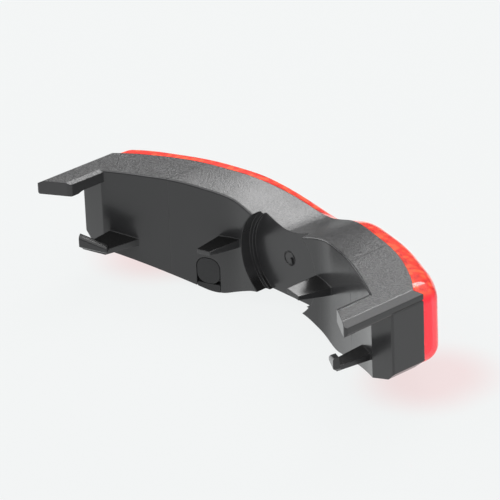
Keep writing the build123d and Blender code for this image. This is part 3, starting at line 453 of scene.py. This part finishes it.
# %% Clear silicone and acrylic
clear_finish, tree, shader = new_finish("clear_silicone", Transmission_Weight=1.0, IOR=1.41)
shader.inputs["Base Color"].default_value = (1.0, 0.98, 0.93, 1.0)
tree.links.new(between(tree, noise(tree, 300.0), 0.3, 0.7, 0.02, 0.08), shader.inputs["Roughness"])
set_finish(clear_finish, "led_domes_right", "led_domes_left", "light_pipe")

# %% [markdown]
# The light stands on a pale table that is lit from within, so its own shadow is faint. Reflections see
# a small table: its light fades away from the object for glossy rays. A touch of pink beside both ends
# stands for the red light that the lens throws on the table. It is part of the table's own light.

# %% Floor
floor_z = cad_box[0][2]
floor_half = 3.0
glow_spot = (58.0 * MM, 2.0 * MM, abs(floor_z))  # under both ends, because places lose their signs
glow_inner, glow_outer, glow_share = 6.0 * MM, 24.0 * MM, 0.24
table_inner, table_outer = 0.16, 0.30

board = bmesh.new()
bmesh.ops.create_grid(board, x_segments=1, y_segments=1, size=floor_half)
bmesh.ops.translate(board, verts=board.verts, vec=(0.0, 0.0, floor_z))
floor_mesh = bpy.data.meshes.new("floor")
board.to_mesh(floor_mesh)
board.free()
floor = bpy.data.objects.new("floor", floor_mesh)
scene.collection.objects.link(floor)

floor_finish, tree, shader = new_finish("lit_table", Roughness=0.9, Specular_IOR_Level=0.0)
shader.inputs["Base Color"].default_value = (0.025, 0.025, 0.025, 1.0)
place = object_place(tree)
from_end = measure(tree, "DISTANCE", measure(tree, "ABSOLUTE", place), glow_spot)
pink = between(tree, from_end, glow_inner, glow_outer, glow_share, 0.0)
colour = blend_colours(tree, pink, (0.845, 0.861, 0.861), (0.85, 0.25, 0.25))
tree.links.new(colour, shader.inputs["Emission Color"])
near = between(tree, measure(tree, "LENGTH", place), table_inner, table_outer, 1.0, 0.1)
reflected = tree.nodes.new("ShaderNodeLightPath").outputs["Is Glossy Ray"]
lost = calculate(tree, "MULTIPLY", reflected, calculate(tree, "SUBTRACT", 1.0, near))
tree.links.new(calculate(tree, "SUBTRACT", 1.0, lost), shader.inputs["Emission Strength"])
floor_mesh.materials.append(floor_finish)
print("floor at", floor_z)

# %% [markdown]
# The world is dark near the horizon and bright overhead, like a ceiling of soft light in a dark room. It
# lights the pieces and shows in their reflections. The camera, and rays that pass clear plastic, see the
# pale background of the photo instead.

# %% World
ceiling_starts, ceiling_full = 0.28, 0.85
ceiling_strength = 2.2
backdrop = (0.896, 0.913, 0.913, 1.0)

world = bpy.data.worlds.new("studio")
scene.world = world
world.use_nodes = True
tree = world.node_tree
height = split(tree, tree.nodes.new("ShaderNodeTexCoord").outputs["Generated"])["Z"]
ceiling = between(tree, height, ceiling_starts, ceiling_full)
background = tree.nodes["Background"]
sky = blend_colours(tree, ceiling, (0.05, 0.051, 0.052), (1.0, 1.0, 1.0))
tree.links.new(sky, background.inputs["Color"])
background.inputs["Strength"].default_value = ceiling_strength
shown = add_node(tree, "ShaderNodeBackground", Color=backdrop, Strength=1.0)
path = tree.nodes.new("ShaderNodeLightPath")
seen = calculate(tree, "MAXIMUM", path.outputs["Is Camera Ray"], path.outputs["Is Transmission Ray"])
mix = tree.nodes.new("ShaderNodeMixShader")
tree.links.new(seen, mix.inputs["Fac"])
tree.links.new(background.outputs[0], mix.inputs[1])
tree.links.new(shown.outputs[0], mix.inputs[2])
tree.links.new(mix.outputs[0], tree.nodes["World Output"].inputs["Surface"])
print("world with", len(tree.nodes), "nodes")

# %% [markdown]
# Three soft boxes add shape. The strongest stands behind the object and high up. The others are weaker:
# one is low on the left, and one is high in front.

# %% Lamps
def soft_lamp(name, place, size, power):
    """A square soft box that looks at the middle of the object."""
    lamp = bpy.data.lights.new(name, "AREA")
    lamp.shape = "SQUARE"
    lamp.size = size
    lamp.energy = power
    holder = bpy.data.objects.new(name, lamp)
    holder.location = place
    holder.rotation_euler = (Vector() - Vector(place)).to_track_quat("-Z", "Y").to_euler()
    scene.collection.objects.link(holder)
    print(name, "at", place)


soft_lamp("key_soft_box", (-0.26, 0.52, 0.66), 0.42, 5.0)
soft_lamp("left_soft_box", (-0.80, -0.20, 0.30), 0.35, 1.5)
soft_lamp("front_soft_box", (-0.25, -0.63, 0.87), 0.30, 1.2)

# %% [markdown]
# The camera stands a good metre away with a long lens, as product photographers do, so the light
# keeps its true proportions. It looks down on the side that faces the head. Its place was solved from
# pairs of points on the two mirrored wings in the photo.

# %% Camera
target = Vector((0.0, -15.0, 8.0)) * MM
azimuth, elevation, roll = math.radians(49.29), math.radians(26.30), math.radians(-2.4)
distance = 1195.0 * MM
level = math.cos(elevation)
direction = Vector((math.sin(azimuth) * level, -math.cos(azimuth) * level, math.sin(elevation)))
portrait_lens = bpy.data.cameras.new("portrait_camera")
portrait_lens.sensor_width = 36.0
portrait_lens.lens = 301.2
portrait_lens.clip_start = 0.05
portrait_lens.clip_end = 20.0
camera = bpy.data.objects.new("portrait_camera", portrait_lens)
camera.location = target + direction * distance
turn = (-direction).to_track_quat("-Z", "Y")
camera.rotation_euler = (turn @ Matrix.Rotation(roll, 3, "Z").to_quaternion()).to_euler()
scene.collection.objects.link(camera)
bpy.context.scene.camera = camera
print("camera at", tuple(round(v, 3) for v in camera.location))

# %% [markdown]
# The Standard view shows the colours as they are computed.

# %% Colour
bpy.context.scene.view_settings.view_transform = "Standard"
